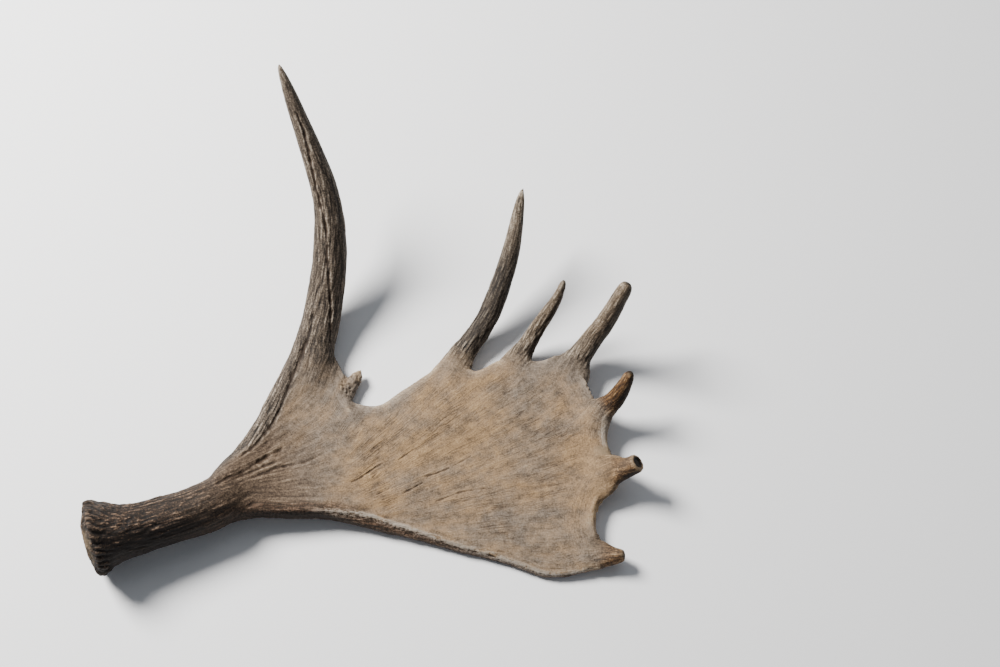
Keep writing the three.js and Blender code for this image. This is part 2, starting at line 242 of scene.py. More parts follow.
def closedGrid(spots):
    # quads over a grid that is closed around its second way, with both ends fanned to their middle point
    rings, sides = spots.shape[:2]
    number = np.arange(rings * sides).reshape(rings, sides)
    across = np.roll(number, -1, axis=1)
    quads = np.stack([number[:-1], across[:-1], across[1:], number[1:]], axis=-1).reshape(-1, 4)
    ends = [rings * sides, rings * sides + 1]
    fans = np.vstack([np.stack([across[0], number[0], np.full(sides, ends[0])], axis=-1),
                      np.stack([number[-1], across[-1], np.full(sides, ends[1])], axis=-1)])
    points = np.vstack([spots.reshape(-1, 3), spots[0].mean(axis=0), spots[-1].mean(axis=0)])
    return points, quads, fans


# the palm: a fan of sections from its lower edge to its upper edge

palm = {
    "lowerEdge": [
        [-175, -222], [-146, -213], [-115, -205], [-83, -204], [-55, -203], [-35, -204], [-15, -208],
        [3, -212], [20, -216], [45, -222], [75, -230], [103, -238], [128, -244], [150, -250], [172, -258],
        [192, -265], [212, -266], [232, -262], [251, -256]],
    "upperEdge": [
        [-170, -170], [-147, -143], [-126, -117], [-112, -83], [-98, -45], [-82, -8], [-48, -4], [-28, -34],
        [-19, -65], [12, -70], [40, -52], [66, -32], [92, -14], [119, -30], [150, -17], [188, -20],
        [218, -15], [240.5, -43.5], [252.5, -69]],
    # pairs of place along the palm and half thickness or height
    "halfLower": [[0, 26], [0.06, 23], [0.11, 18], [0.22, 15], [0.4, 11], [0.59, 8.5], [0.8, 7.2], [1, 6.5]],
    "halfMiddle": [[0, 26], [0.06, 22], [0.11, 15.5], [0.17, 11.5], [0.28, 8.3], [0.5, 6.2], [0.7, 5.3],
                   [1, 4.8]],
    "halfUpper": [[0, 26], [0.06, 22], [0.11, 17], [0.17, 14], [0.28, 11], [0.34, 8.5], [0.4, 6.5],
                  [0.5, 5.8], [0.65, 6.5], [0.8, 6], [1, 5.5]],
    "zLower": [[0, 33], [0.06, 28], [0.17, 20], [0.35, 13.5], [0.53, 8.8], [0.65, 6.6], [0.72, 5.8],
               [0.88, 6.2], [1, 8.5]],
    "zMiddle": [[0, 33], [0.06, 28], [0.11, 23], [0.17, 18], [0.28, 13], [0.5, 8.8], [0.65, 7.2],
                [0.8, 7.8], [0.9, 10], [1, 16]],
    "zUpper": [[0, 33], [0.06, 28], [0.11, 23], [0.17, 18.5], [0.28, 15], [0.34, 13], [0.4, 11],
               [0.5, 9.5], [0.65, 11], [0.8, 15.5], [0.9, 21], [1, 27]],
    "squareness": [[0, 2], [0.06, 2.2], [0.15, 3.5], [0.25, 5], [1, 6]],
    # how far the tined edge reaches out at the tines and in at the bays, in even steps from the lower to
    # the upper edge
    "sway": [2, -2, -7.5, -2.5, 10, 14, 7.5, 9, -1], "swayFrom": 0.82, "round": 5.0, "roundFrom": 0.94,
    "rimReach": 1.8, "ribs": 3, "ribDepth": 0.8, "grid": (260, 200),
}


def along(pairs, place):
    pairs = np.asarray(pairs, float)
    return np.interp(place, pairs[:, 0], pairs[:, 1])


def palmEdges(place):
    shift = np.array([offset["x"], offset["y"]])
    return curveThrough(palm["lowerEdge"], place) + shift, curveThrough(palm["upperEdge"], place) + shift


def swayAt(across):
    # how far the tined edge reaches out, between the lower edge at 0 and the upper edge at 1
    return curveThrough(np.asarray(palm["sway"])[:, None], across)[..., 0]


def palmGrid(settings):
    # across runs 0 to 1 from the lower to the upper edge as the angle goes round; the half thickness is the
    # web's, plus the rim's excess / (1 + (distance from the edge / rim reach)^3), rounded at the edges
    rings, sides = settings["grid"]
    run = np.linspace(0, 1, rings + 1)[:, None]
    angle = np.linspace(0, 2 * np.pi, sides, endpoint=False)[None]
    place = np.minimum(run / settings["roundFrom"], 1)
    across = 0.5 - 0.5 * np.cos(angle)
    off = 2 * across - 1
    lower, upper = palmEdges(place[:, 0])
    flat = lower[:, None] + (upper - lower)[:, None] * across[..., None]
    width = np.linalg.norm(upper - lower, axis=1)[:, None]

    isLow = across < 0.5
    web = along(settings["halfMiddle"], place)
    rim = np.where(isLow, along(settings["halfLower"], place), along(settings["halfUpper"], place))
    fromEdge = (0.5 - 0.5 * np.abs(off)) * width
    swollen = web + (rim - web) / (1 + (fromEdge / (settings["rimReach"] * rim)) ** 3)
    power = along(settings["squareness"], place)
    rounding = np.maximum(1 - np.abs(off) ** power, 0) ** (1 / power)

    turn = 0.5 * np.pi * np.maximum(run - settings["roundFrom"], 0) / (1 - settings["roundFrom"])
    sway = smooth(place, settings["swayFrom"], 1) * swayAt(across)
    onTop = np.sin(angle) > 0
    fanned = smooth(place, 0.1, 0.3) * (1 - smooth(place, 0.7, 0.9))
    rib = np.where(onTop, settings["ribDepth"] * fanned * np.sin(2 * np.pi * settings["ribs"] * across), 0)
    closing = smooth(run, 0, 0.03) * np.cos(turn)
    height = np.where(isLow, along(settings["zLower"], place), along(settings["zUpper"], place))
    middle = along(settings["zMiddle"], place)
    z = middle + (height - middle) * off ** 2 + np.where(onTop, 1, -1) * closing * rounding * (swollen + rib)
    spots = np.stack([flat[..., 0] + sway + settings["round"] * np.sin(turn), flat[..., 1],
                      z + offset["z"]], axis=-1)
    return closedGrid(spots)


# one skin over the palm and all limbs

skin = {
    "voxel": 2.4, "filletRounds": 150, "filletPull": 0.5, "bayRounds": 450, "triangles": 194000,
    # reach of the finer faces around the root, the cracks, the lower rim and the snag
    "fineRoot": 175, "fineVein": 5.0, "finestVein": 3.2, "fineRim": 13, "fineSnag": 1.7,
    # a limb's share ends between these distances from its axis, in half widths; points further than the
    # margin from its box have none
    "inner": 1.15, "outer": 1.8, "margin": 48.0, "endRounding": 12.0, "batch": 8000,
}


def meshFrom(name, points, faces):
    mesh = bpy.data.meshes.new(name)
    mesh.from_pydata(points.tolist(), [], faces)
    mesh.update()
    piece = bpy.data.objects.new(name, mesh)
    bpy.context.scene.collection.objects.link(piece)
    return piece


def joinedGrids(grids):
    points, faces, start = [], [], 0
    for spots, quads, fans in grids:
        points.append(spots)
        faces += (quads + start).tolist() + (fans + start).tolist()
        start += len(spots)
    return np.vstack(points), faces


def remeshed(piece, voxel):
    modifier = piece.modifiers.new("skin", "REMESH")
    modifier.mode = "VOXEL"
    modifier.voxel_size = voxel
    modifier.adaptivity = 0
    worked = piece.evaluated_get(bpy.context.evaluated_depsgraph_get())
    mesh = bpy.data.meshes.new_from_object(worked)
    piece.modifiers.clear()
    piece.data = mesh
    return mesh


def pointsOf(mesh):
    flat = np.empty(len(mesh.vertices) * 3)
    mesh.vertices.foreach_get("co", flat)
    return flat.reshape(-1, 3)


def putPoints(mesh, points):
    mesh.vertices.foreach_set("co", points.ravel())
    mesh.update()


def edgesOf(mesh):
    flat = np.empty(len(mesh.edges) * 2, dtype=np.int32)
    mesh.edges.foreach_get("vertices", flat)
    return flat.reshape(-1, 2)


def normalsOf(mesh):
    flat = np.empty(len(mesh.vertices) * 3)
    mesh.vertex_normals.foreach_get("vector", flat)
    return flat.reshape(-1, 3)


def neighbourMean(values, edges, counts):
    # mean of each vertex's neighbours along the edges
    total = np.zeros_like(values)
    for column in range(values.shape[1]):
        total[:, column] = (np.bincount(edges[:, 0], values[edges[:, 1], column], len(values))
                            + np.bincount(edges[:, 1], values[edges[:, 0], column], len(values)))
    return total / counts[:, None]


grids = [palmGrid(palm)] + [limbGrid(settings) for settings in limbs.values()]
points, faces = joinedGrids(grids)
antler = meshFrom("antler", points, faces)
mesh = remeshed(antler, skin["voxel"])
report(f"one skin, {len(mesh.vertices)} points")


def bmeshSplit(mesh, chosen):
    # every edge whose two ends are both chosen is cut in half, and its faces with it
    shape = bmesh.new()
    shape.from_mesh(mesh)
    shape.edges.ensure_lookup_table()
    both = np.flatnonzero(chosen[edgesOf(mesh)].all(axis=1))
    bmesh.ops.subdivide_edges(shape, edges=[shape.edges[i] for i in both], cuts=1, use_grid_fill=True)
    bmesh.ops.triangulate(shape, faces=[face for face in shape.faces if len(face.verts) > 4])
    shape.to_mesh(mesh)
    shape.free()
    mesh.update()


def relaxed(points, edges, rounds, pull=0.5):
    # even smoothing that keeps the volume: a step towards the neighbours' mean, then a slightly larger
    # one back
    counts = np.bincount(edges.ravel(), minlength=len(points)).astype(float)
    for _ in range(rounds):
        points = points + pull * (neighbourMean(points, edges, counts) - points)
        points = points - 1.02 * pull * (neighbourMean(points, edges, counts) - points)
    return points


def filleted(mesh, rounds, pull, share):
    # creases between limbs fill up: a point moves out along its normal where its neighbours' mean lies
    # outside
    edges = edgesOf(mesh)
    points = pointsOf(mesh)
    counts = np.bincount(edges.ravel(), minlength=len(points)).astype(float)
    for turn in range(rounds):
        if turn % 15 == 0:
            putPoints(mesh, points)
            normals = normalsOf(mesh)
        outward = np.einsum("ij,ij->i", neighbourMean(points, edges, counts) - points, normals)
        points = points + (pull * share * np.maximum(outward, 0))[:, None] * normals
    putPoints(mesh, points)


def batches(count):
    return np.array_split(np.arange(count), max(1, count // skin["batch"]))


def nearestOn(spots, line):
    # for each point, the number of the nearest point of a line
    nearest = np.empty(len(spots), dtype=int)
    for part in batches(len(spots)):
        gap = np.sum(line ** 2, axis=1)[None] - 2 * spots[part] @ line.T
        nearest[part] = np.argmin(gap, axis=1)
    return nearest


def lengthAlong(line):
    return np.concatenate([[0], np.cumsum(np.linalg.norm(np.diff(line, axis=0), axis=1))])


def limbField(points, settings):
    # for each point: how far out it lies from the limb's axis in half widths, its place along the limb, its
    # share in the limb, and its straightened place (sideways, over, along) in millimetres
    stations = shifted(settings["stations"])
    place = np.linspace(0, 1, 420)
    at, onward, side, over = limbLine(stations, place)
    size = np.maximum(curveThrough(stations[:, 3:], place), 1.0)
    run = lengthAlong(at)
    low, high = at.min(axis=0) - skin["margin"], at.max(axis=0) + skin["margin"]
    near = np.flatnonzero(np.all((points > low) & (points < high), axis=1))
    nearest = nearestOn(points[near], at)
    apart = points[near] - at[nearest]
    ahead = np.einsum("ij,ij->i", apart, onward[nearest])
    sideways = np.einsum("ij,ij->i", apart, side[nearest])
    above = np.einsum("ij,ij->i", apart, over[nearest])
    farOut = 9.0
    field = {"out": np.full(len(points), farOut), "place": np.zeros(len(points)),
             "flow": np.zeros((len(points), 3))}
    field["out"][near] = np.sqrt((sideways / size[nearest, 0]) ** 2 + (above / size[nearest, 1]) ** 2
                                 + (ahead / skin["endRounding"]) ** 2)
    field["place"][near] = place[nearest]
    field["flow"][near] = np.stack([sideways, above, run[nearest] + ahead], axis=-1)
    field["facing"] = onward[-1]
    reach = settings.get("reach", 1.0)
    field["share"] = (smooth(field["out"], skin["outer"] * reach, skin["inner"] * reach)
                      * smooth(field["place"], *settings["rootFade"])
                      * smooth(field["place"], *settings["tipFade"]))
    return field


def palmField(points):
    # the section whose line passes through the point gives its place along, and how far across it lies
    place = np.linspace(0, 1, 300)
    lower, upper = palmEdges(place)
    line = upper - lower
    lengthSquared = np.sum(line ** 2, axis=1)
    foundPlace, across = np.empty(len(points)), np.empty(len(points))
    for part in batches(len(points)):
        toPoint = points[part][:, None, :2] - lower[None]
        share = np.clip(np.sum(toPoint * line[None], axis=-1) / lengthSquared, 0, 1)
        miss = np.linalg.norm(toPoint - share[..., None] * line[None], axis=-1)
        best = np.argmin(miss, axis=1)
        rows = np.arange(len(part))
        foundPlace[part], across[part] = place[best], share[rows, best]
    return {"place": foundPlace, "across": across}


# relief cut into the skin, in millimetres: depths, and places on plan of the grooves that show one by one

relief = {
    "beamFurrow": 1.7, "browFurrow": 1.8, "ridgeFurrow": 2.0, "tineFurrow": 2.2, "palmFurrow": 0.9,
    "palmSwell": 0.6, "palmFibre": 0.45, "burrLobes": 29, "burrLobe": 3.4, "burrKnob": 1.6, "beamPearl": 0.8,
    "rimRidge": 0.65, "rimPearl": 0.75, "snagCrust": 0.9, "snagPit": 1.3, "brokenEnd": 2.8,
    "rootFurrow": 1.1,
    # width and length of the furrows on each part, and the mean that keeps them from swelling it
    "furrowSize": {"beam": (5.0, 60.0), "ridge": (4.6, 55.0), "brow": (4.8, 45.0), "tine": (4.4, 28.0),
                   "near": (6.5, 60.0), "root": (8.0, 130.0)},
    "furrowMean": 0.4,
    # how coarse-grained each tine is against the smooth palm
    "grain": {"tine2": 1.0, "tine3": 0.9, "tine4": 0.78, "tine5": 0.7, "tine6": 0.35, "tine7": 0.45},
    "nearCentre": (-183.0, -180.0),      # where the fibres fan out from near the beam, in plan
    "fanCentre": (-123.2, -233.1),       # and where they fan out from over the rest of the palm
    "turnScale": 100.0, "heightShare": 0.15,
    # width of the slope from the lower rim's crest to its edge, along the palm: [place, millimetres]
    "rimSide": [[0.05, 2], [0.15, 3], [0.28, 5], [0.36, 10], [0.42, 12], [0.5, 9], [0.62, 5], [0.85, 2.5],
                [1, 0]],
    "rimSlope": 0.45,
    "wornRim": [-97.0, 24.0],            # middle and reach, in y, of the most worn stretch of the tined rim
    "grooves": [
        {"line": [[-64, 40], [-69, 14], [-80, -18], [-91, -50], [-99, -76]], "half": 2.6, "depth": 1.8},
        {"line": [[-93, -60], [-104, -88], [-122, -118], [-136, -133]], "half": 2.6, "depth": 2.0},
        {"line": [[-91, -117], [-105, -126], [-130, -149], [-162, -170]], "half": 2.4, "depth": 1.7},
        {"line": [[-97, -133], [-117, -145], [-148, -165]], "half": 2.2, "depth": 1.4},
        {"line": [[-43, -118], [-69, -133], [-97, -141], [-136, -164]], "half": 1.8, "depth": 1.2},
        {"line": [[-46, 8], [-44.7, 41], [-47.5, 82], [-49.6, 122], [-60, 156], [-71, 204], [-79.6, 221]],
         "half": 1.8, "depth": 2.0}],
    "veins": [
        {"line": [[61, -146], [76, -141], [91, -134], [113, -120]], "half": 1.3, "depth": 1.1},
        {"line": [[74, -174], [88, -168], [103, -162], [130, -158]], "half": 1.2, "depth": 1.0},
        {"line": [[-18, -154], [-8, -149], [10, -134], [22, -127]], "half": 1.2, "depth": 1.0},
        {"line": [[5, -148], [14, -139]], "half": 1.1, "depth": 0.8},
        {"line": [[9, -168], [25, -159]], "half": 1.1, "depth": 0.9},
        {"line": [[33, -126], [50, -113]], "half": 1.1, "depth": 0.9},
        {"line": [[39, -165], [61, -152]], "half": 1.2, "depth": 1.0}],
}

# where each zone fades in or out, from none to full
zones = {
    # distance from the near centre, in millimetres
    "root": (172, 80), "besideBeam": (95, 35), "nearBeam": (230, 80), "far": (140, 210), "rimFrom": (80, 150),
    # distance inward from the palm's edge
    "rim": (24, 9), "tinedSide": (30, 12), "greyEdge": (20, 6),
    # distance along the beam
    "burrStart": (1, 5), "burrEnd": (38, 16), "lipStart": (0, 4), "lipEnd": (18, 8), "seal": (4.5, 1.5),
    # place along the palm, the brow tine or a tine
    "tinedFrom": (0.8, 0.92), "tinedRim": (0.86, 0.97), "tinedCrest": (0.9, 0.97), "browFade": (0.85, 0.35),
    "tineFade": (0.9, 0.35),
}


def fromLine(points, line):
    # shortest distance on plan from each point to a line of straight stretches, and how far along it, 0 to 1
    line = np.asarray(line, float)
    nearest, place = np.full(len(points), 1e9), np.zeros(len(points))
    for index, (start, end) in enumerate(zip(line[:-1], line[1:])):
        share = np.clip((points[:, :2] - start) @ (end - start) / np.sum((end - start) ** 2), 0, 1)
        miss = np.linalg.norm(points[:, :2] - start - share[:, None] * (end - start), axis=1)
        place = np.where(miss < nearest, (index + share) / (len(line) - 1), place)
        nearest = np.minimum(nearest, miss)
    return nearest, place


def furrows(flow, width, length, wander=0.6):
    # rounded ridges with creased valleys between, 0 to 1: the size of a soft noise that is stretched
    # lengthwise
    stretched = flow / np.array([width, width, length])
    stretched[:, :2] += wander * softNoise(flow / 28.0)[:, None]
    return np.abs(softNoise(stretched)) ** 0.75


def layeredFurrows(flow, width, length):
    return 0.62 * furrows(flow, width, length) + 0.38 * furrows(flow + 57.0, 0.45 * width, 0.5 * length)


def furrowed(flow, name):
    # furrows of a part's own size, with their mean taken off
    return layeredFurrows(flow, *relief["furrowSize"][name]) - relief["furrowMean"]


fields = {name: limbField(pointsOf(mesh), settings) for name, settings in limbs.items()}
tineNames = [name for name in limbs if name.startswith("tine")]
report("limbs found")


def sharesOf(fields):
    beam, ridge, brow = (fields[name]["share"] for name in ("beam", "rootRidge", "brow"))
    tines = np.max([fields[name]["share"] for name in tineNames], axis=0)
    ridge = ridge * (1 - 0.8 * brow)
    brow = brow * (1 - 0.5 * ridge)
    beam = beam * (1 - brow) * (1 - ridge)
    return beam, ridge, brow, tines


def rimField(points):
    # distance inward from the palm's outline on plan, and the run along that outline
    place = np.linspace(0, 1, 160)
    lower, upper = palmEdges(place)
    share = np.linspace(0, 1, 60)[1:-1]
    tined = lower[-1] + share[:, None] * (upper[-1] - lower[-1])
    tined[:, 0] += swayAt(share) + palm["round"]
    outline = np.vstack([lower, tined, upper[::-1]])
    nearest = nearestOn(points[:, :2], outline)
    inward = np.linalg.norm(points[:, :2] - outline[nearest], axis=1)
    return {"inward": inward, "run": lengthAlong(outline)[nearest]}


# creases between the limbs filled, then finer faces where the furrows are

def fromVeins(points):
    return np.min([fromLine(points, vein["line"])[0] for vein in relief["veins"]], axis=0)


def lowRimField(points):
    # distance inward from the palm's lower edge, and the height of its underside and of its top there
    fan = palmField(points)
    width = np.linalg.norm(np.subtract(*palmEdges(fan["place"])), axis=1)
    middle, half = along(palm["zLower"], fan["place"]), along(palm["halfLower"], fan["place"])
    return fan, fan["across"] * width, middle - half + offset["z"], middle + half + offset["z"]


beamShare, ridgeShare, browShare, tineShare = sharesOf(fields)
filleted(mesh, skin["filletRounds"], skin["filletPull"], np.ones(len(mesh.vertices)))
points = pointsOf(mesh)
tinedZone = smooth(rimField(points)["inward"], *zones["tinedSide"])
tinedZone *= smooth(palmField(points)["place"], *zones["tinedFrom"])
filleted(mesh, skin["bayRounds"], skin["filletPull"], tinedZone)
putPoints(mesh, relaxed(pointsOf(mesh), edgesOf(mesh), 2))
points, upward = pointsOf(mesh), normalsOf(mesh)[:, 2] > 0
fromLow = lowRimField(points)[1]
limbed = np.max([beamShare, ridgeShare, browShare, tineShare, fields["snag"]["share"]], axis=0) > 0.2
rooted = np.linalg.norm(points[:, :2] - relief["nearCentre"], axis=1) < skin["fineRoot"]
detailed = rooted | (fromVeins(points) < skin["fineVein"]) | (fromLow < skin["fineRim"])
bmeshSplit(mesh, limbed | (fields["snag"]["out"] < skin["fineSnag"]) | (upward & detailed))
points = pointsOf(mesh)
bmeshSplit(mesh, (normalsOf(mesh)[:, 2] > 0) & (fromVeins(points) < skin["finestVein"]))
putPoints(mesh, relaxed(pointsOf(mesh), edgesOf(mesh), 4))
report(f"creases filled, {len(mesh.vertices)} points")

points, normals, edges = pointsOf(mesh), normalsOf(mesh), edgesOf(mesh)
counts = np.bincount(edges.ravel(), minlength=len(points)).astype(float)
fields = {name: limbField(points, settings) for name, settings in limbs.items()}
fan, fromLow, rimFoot, rimTop = lowRimField(points)
beamShare, ridgeShare, browShare, tineShare = sharesOf(fields)
snagShare = fields["snag"]["share"]
palmShare = np.clip(1 - beamShare - ridgeShare - browShare - tineShare - snagShare, 0, 1)
tineFlow = np.zeros((len(points), 3))
tineMost = np.max([fields[name]["share"] for name in tineNames], axis=0)
for index, name in enumerate(tineNames):
    mine = (fields[name]["share"] >= tineMost - 1e-9) & (fields[name]["share"] > 0)
    tineFlow[mine] = fields[name]["flow"][mine] + 90.0 * index
onTop = smooth(normals[:, 2], -0.1, 0.35)


def fanAbout(centre):
    # straightened place of fibres that fan out from a centre on plan: angle * scale, a share of the height
    # so that the two faces differ, and the distance; then the distance on its own
    spread = points[:, :2] - np.array(centre)
    run = np.hypot(spread[:, 0], spread[:, 1])
    angle = np.arctan2(spread[:, 1], spread[:, 0])
    return np.stack([relief["turnScale"] * angle, relief["heightShare"] * points[:, 2], run], axis=-1), run


fanFlow, fanRun = fanAbout(relief["fanCentre"])
nearFlow, nearRun = fanAbout(relief["nearCentre"])
rim = rimField(points)
rimFlow = np.stack([rim["inward"], points[:, 2], rim["run"]], axis=-1)
rimReach = 1 + 0.9 * smooth(fan["place"], 0.78, 0.9)
rimShare = smooth((rim["inward"] + 4.0 * softNoise(points / 25.0)) / rimReach, *zones["rim"])
rimShare *= smooth(nearRun, *zones["rimFrom"])
browFlow = fields["brow"]["flow"]
browPlace = fields["brow"]["place"]
tinePlace = np.max([fields[n]["place"] * (fields[n]["share"] > 0) for n in tineNames], axis=0)
farShare = smooth(nearRun + 12 * softNoise(points / 35.0), *zones["far"])
sideWidth = np.maximum(along(relief["rimSide"], fan["place"]) + 1.2 * softNoise(points / 12.0), 0)
belowCrest = np.maximum(sideWidth - fromLow, 0) + np.maximum(rimTop - 1.5 - points[:, 2], 0)
nearLow = palmShare * smooth(fromLow, sideWidth + 3, sideWidth + 0.5)
beamRun = fields["beam"]["flow"][:, 2]
report("surface coordinates")


def limbRelief():
    # furrows along each limb, deepest at its root, in millimetres out along the normal
    beamFlow = fields["beam"]["flow"]
    browRoot = smooth(browPlace, *zones["browFade"])
    tineRoot = smooth(tinePlace, *zones["tineFade"])
    height = np.zeros(len(points))
    for name, share, flow in (("beam", beamShare * (1 - 0.7 * burr), beamFlow),
                              ("ridge", ridgeShare, ridgeFlow),
                              ("brow", browShare * (0.15 + 0.85 * browRoot), browFlow),
                              ("tine", tineGrain * (0.15 + 0.85 * tineRoot), tineFlow)):
        height += relief[f"{name}Furrow"] * share * furrowed(flow, name)
    # lobes run in from the burr's lip and knobs stand on it; rows of long pearls lie along the beam
    turn = np.arctan2(beamFlow[:, 1], beamFlow[:, 0]) + 0.012 * beamRun + 0.16 * softNoise(points / 17.0)
    lobes = np.abs(np.sin(0.5 * relief["burrLobes"] * turn)) ** 0.7 * (0.6 + 0.8 * softNoise(points / 13.0))
    lip = smooth(beamRun, *zones["lipStart"]) * smooth(beamRun, *zones["lipEnd"]) * beamShare
    height += burr * relief["burrLobe"] * (lobes - 0.4)
    height += lip * relief["burrKnob"] * (pearls(points / 7.0) - 0.4)
    strayed = np.stack([softNoise(points / 9.0 + 20.0 * axis) for axis in range(3)], axis=-1)
    rows = pearls(beamFlow / np.array([4.2, 4.2, 7.0]) + 0.9 * strayed)
    rows *= smooth(softNoise(points / 15.0), -0.25, 0.35)
    height += relief["beamPearl"] * beamShare * (1 - burr) * rows
    # the snag is crusty, with pits half way up
    pitted = smooth(fields["snag"]["place"], 0.2, 0.4) * (1 - smooth(fields["snag"]["place"], 0.6, 0.8))
    pits = smooth(pearls(points / 4.0 + 3.0) + 0.5 * softNoise(points / 5.0), 0.6, 1.0)
    crust = relief["snagCrust"] * softNoise(points / 3.4, 2)
    height += snagShare * (crust - relief["snagPit"] * pitted * pits)
    return height - relief["brokenEnd"] * smooth(brokenReach, 8.0, 5.0) * brokenFace


def wornStretch():
    # the most worn stretch of the tined rim: exp(-(distance from its middle in y / reach)^2)
    middle, reach = relief["wornRim"]
    return np.exp(-((points[:, 1] - middle) / reach) ** 2)


def palmRelief():
    # furrowed near the beam and nearly smooth further out, with fine fibres that fan out
    height = relief["palmFurrow"] * smooth(nearRun, *zones["nearBeam"]) * furrowed(nearFlow, "near")
    height += relief["rootFurrow"] * rootZone * furrowed(nearFlow + 5.0, "root")
    height *= 1 - besideBeam
    height += relief["rootFurrow"] * besideBeam * furrowed(fields["beam"]["flow"], "beam")
    fanSwell = smooth(fanRun, 70, 160) * softNoise(fanFlow / np.array([8, 40, 70]), 2)
    height += relief["palmSwell"] * (0.5 * softNoise(points / 30.0, 2) + fanSwell)
    farFibres = furrows(fanFlow * np.array([2.4, 1, 1]), 6.0, 30.0)
    fibres = (1 - farShare) * furrows(nearFlow + 11.0, 6.0, 38.0) + farShare * farFibres
    height += relief["palmFibre"] * (1 - rimShare) * (fibres - 0.4)
    height += relief["palmFibre"] * rimShare * (furrows(rimFlow, 4.5, 30.0) - 0.4)
    # the lower rim has a rough crest with a shallow gutter behind it and streaks and pearls below it
    inside = fromLow - sideWidth
    ridge = np.exp(-(inside / 2.2) ** 2) - 0.6 * np.exp(-((inside - 6) / 3.0) ** 2)
    wavy = softNoise(rimFlow / np.array([3, 3, 12]), 2)
    height += relief["rimRidge"] * onTop * ridge * (0.6 + 1.1 * wavy)
    streaks = furrows(np.stack([belowCrest, fromLow, rim["run"]], axis=-1), 3.2, 22.0)
    height += nearLow * relief["rimPearl"] * (1.2 * (streaks - 0.4) + 0.7 * (pearls(points / 3.6) - 0.3))
    tinedRim = smooth(fan["place"], *zones["tinedRim"]) * np.exp(-((rim["inward"] - 5) / 3.6) ** 2)
    height += relief["rimRidge"] * (0.1 + 1.7 * wornStretch()) * onTop * tinedRim
    return height * palmShare


def grooveDepth(kind, waver):
    # single grooves that waver and thin out towards both ends: depth * exp(-(distance / half width)^2)
    depth = np.zeros(len(points))
    for groove in relief[kind]:
        apart, place = fromLine(points, groove["line"])
        taper = 0.25 + 0.75 * np.sqrt(np.clip(1 - (2 * place - 1) ** 2, 0, 1))
        taper = taper * np.clip(0.85 + 0.7 * softNoise(points / 8.0), 0.2, 1.3)
        apart = (apart + waver * softNoise(points / 6.0)) / (groove["half"] * taper)
        depth = np.maximum(depth, groove["depth"] * taper * np.exp(-apart ** 2))
    return depth * onTop


onBeam = fields["beam"]["share"] > 0.5
burr = smooth(beamRun, *zones["burrStart"]) * smooth(beamRun, *zones["burrEnd"]) * onBeam
ridgeFlow = fields["rootRidge"]["flow"] + 31.0
tineGrain = np.max([relief["grain"][name] * fields[name]["share"] for name in tineNames], axis=0)
rootZone = smooth(nearRun + 10 * softNoise(points / 20.0), *zones["root"])
besideBeam = smooth(nearRun + 6 * softNoise(points / 12.0), *zones["besideBeam"])
broken = fields["tine6"]
brokenReach = np.hypot(broken["flow"][:, 0], broken["flow"][:, 1])
brokenFace = (broken["share"] > 0.5) * smooth(normals @ broken["facing"], 0.35, 0.75)
slope = relief["rimSlope"] * np.maximum(sideWidth - fromLow, 0) * palmShare
points[:, 2] -= slope * np.clip((points[:, 2] - rimFoot) / (rimTop - rimFoot), 0, 1)

veinDepth, longDepth = grooveDepth("veins", 0.6), grooveDepth("grooves", 0.9)
height = limbRelief() + palmRelief() - longDepth - veinDepth
points = points + height[:, None] * normals
points[:, 2] = np.maximum(points[:, 2], 0.0)
putPoints(mesh, points)


def standingProud(points, normals, rounds):
    # how far a point stands out of its neighbourhood, in millimetres
    blurred = points
    for _ in range(rounds):
        blurred = neighbourMean(blurred, edges, counts)
    return np.einsum("ij,ij->i", points - blurred, normals)


normals = normalsOf(mesh)
# crests are made paler as wear and hollows darker as painted shade
wearAndHollowShade = np.clip(standingProud(points, normals, 6) / 0.5, -1, 1)


def limbMark(name, low, high):
    return fields[name]["share"] * smooth(fields[name]["place"], low, high)


# where the stains, worn places and painted shade lie
stainAndShadePlaces = {
    # soft round places on plan that are warmer or greyer than the rest: [x, y, reach, amount]
    "hues": [[78, -90, 62, 0.30], [226, -132, 44, 0.5], [-5, -112, 34, 0.22], [-58, -66, 46, -0.26],
             [-80, -150, 44, -0.24], [170, -226, 46, -0.14], [166, -36, 34, -0.04], [20, -60, 40, -0.20],
             [120, -165, 40, -0.06]],
    # how far below the lower rim's crest the painted shade on its side starts, and how strong it is, along
    # the palm
    "rimShadeFrom": [[0, 1.5], [0.25, 3], [0.33, 7], [0.42, 13], [0.6, 8], [1, 5]],
    "rimShade": [[0, 0.95], [0.28, 0.9], [0.36, 0.75], [0.48, 0.7], [0.75, 0.7], [0.92, 0.4], [1, 0.2]],
    "paleSpot": [273.5, -236.0, 3.0],
    # orange stretches: tine, place where each starts and is full, its share, and more of it on the side
    # facing −y, where the darker orange is partly painted shade
    "orange": [["tine5", 0.2, 0.42, 1.0, 0.0], ["tine6", 0.25, 0.55, 0.65, 0.25],
               ["tine7", 0.3, 0.6, 0.75, 0.2]],
    # dark stretches: tine, place where each starts and is full, its share, and the side that it covers; on
    # the right and low sides, away from the key light, they are painted shade, at the tips and the broken end
    # the tines' own dark
    "dark": [["tine5", 0.84, 0.93, 1.0, "all"], ["tine5", 0.2, 0.5, 0.85, "right"],
             ["tine4", 0.9, 0.97, 0.9, "all"], ["tine7", 0.84, 0.94, 0.9, "all"],
             ["tine3", 0.88, 0.97, 0.8, "all"], ["tine2", 0.93, 1.0, 0.6, "all"],
             ["tine4", 0.15, 0.4, 0.7, "right"], ["tine3", 0.2, 0.4, 0.6, "right"],
             ["tine6", 0.1, 0.4, 0.75, "low"], ["tine2", 0.2, 0.4, 0.7, "lowerHalf"]],
}
